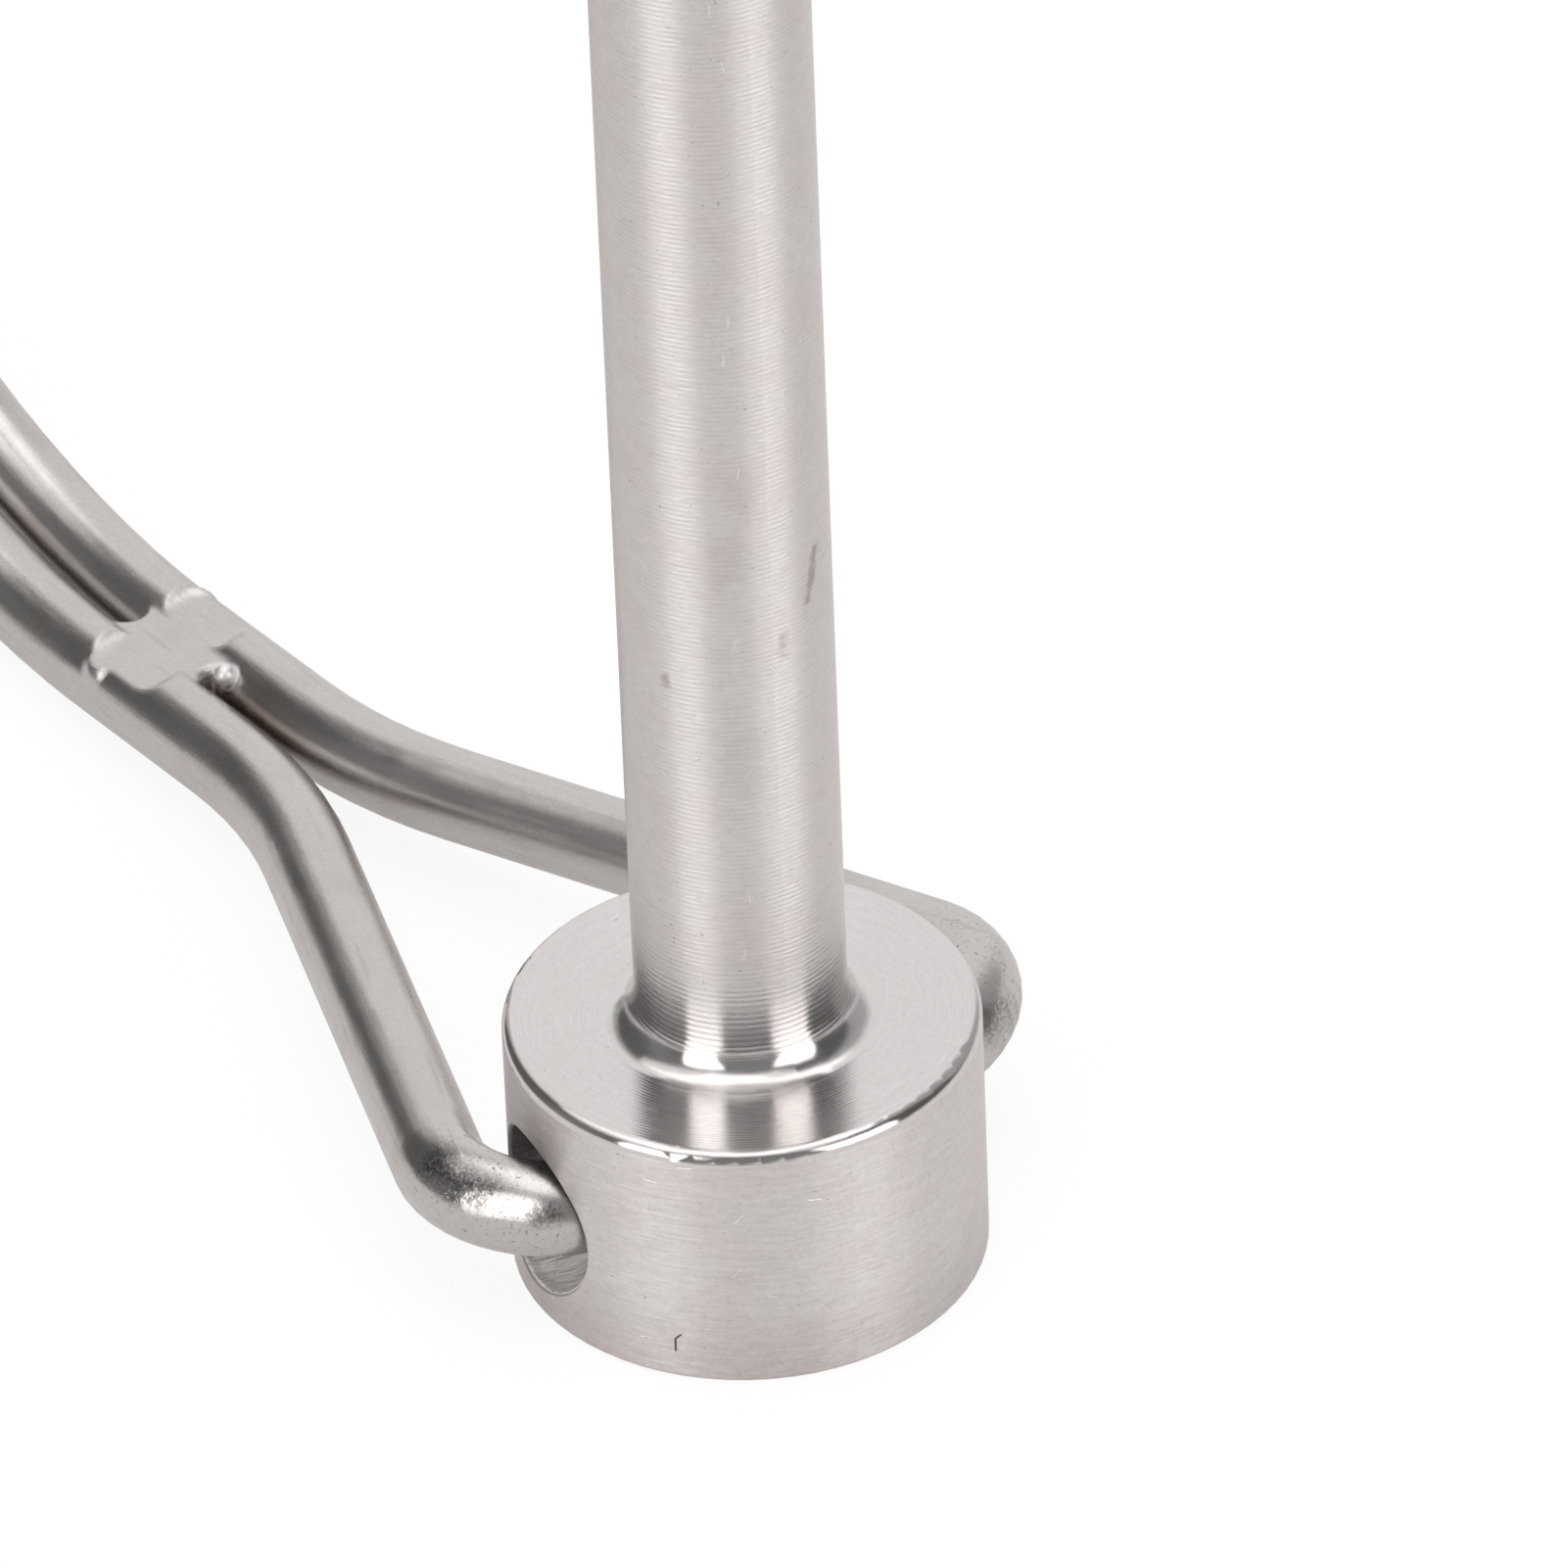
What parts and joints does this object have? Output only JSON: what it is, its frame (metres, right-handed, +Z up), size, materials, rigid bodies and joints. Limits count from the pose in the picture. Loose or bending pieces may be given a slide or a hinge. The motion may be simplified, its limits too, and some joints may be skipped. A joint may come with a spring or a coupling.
{
  "type": "safety coupler pin",
  "caption": "Headed steel pin with a cross-drilled head and a bent double-wire bail that swings round it, its closed eye made to snap over the pin's tapered tip.",
  "frame": {"origin": "centre of the head's flat base, where the pin's axis meets the surface it stands on", "axes": "+Z up the shank from the head to the tip, +Y along the cross hole in the head, and the loose bail reaches out towards -X"},
  "size_m": [0.0725, 0.0211, 0.073],
  "materials": {
    "turned_steel": "turned and lightly tumbled stainless steel, satin",
    "wire_steel": "drawn stainless steel wire, smooth, with bending marks and spot welds"
  },
  "bodies": {
    "pin": {"headed_pin": "turned_steel"},
    "bail": {"wire_bail": "wire_steel"}
  },
  "joints": [
    {"name": "bail_swing", "type": "hinge", "parent": "pin", "child": "bail", "pos_m": [0, 0, 0.00342], "axis": [0, 1, 0], "range_deg": [-240, 3]}
  ]
}
